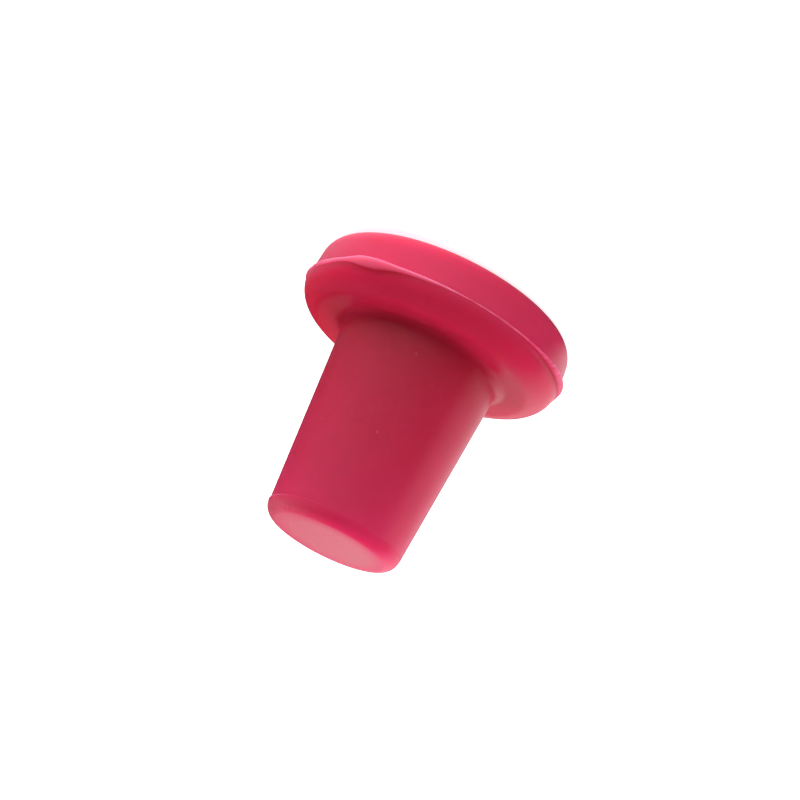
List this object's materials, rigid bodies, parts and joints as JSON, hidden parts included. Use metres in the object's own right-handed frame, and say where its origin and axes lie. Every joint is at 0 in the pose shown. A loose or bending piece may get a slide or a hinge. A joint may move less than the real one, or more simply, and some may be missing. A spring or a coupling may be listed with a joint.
{
  "type": "silicone wine stopper",
  "caption": "One-piece moulded stopper for a wine bottle: a tapered solid plug under a thick round head with a soft edge and a parting line.",
  "frame": {"origin": "centre of the head's flat face, which the stopper stands on", "axes": "+Z along the plug's axis, from the flat face towards the plug's end; the widest tongue of moulding flash lies towards +X -Y"},
  "size_m": [0.0356, 0.0354, 0.0355],
  "materials": {
    "silicone": "satin moulded silicone, raspberry red, slightly translucent"
  },
  "bodies": {
    "root": {"stopper": "silicone"}
  },
  "joints": []
}
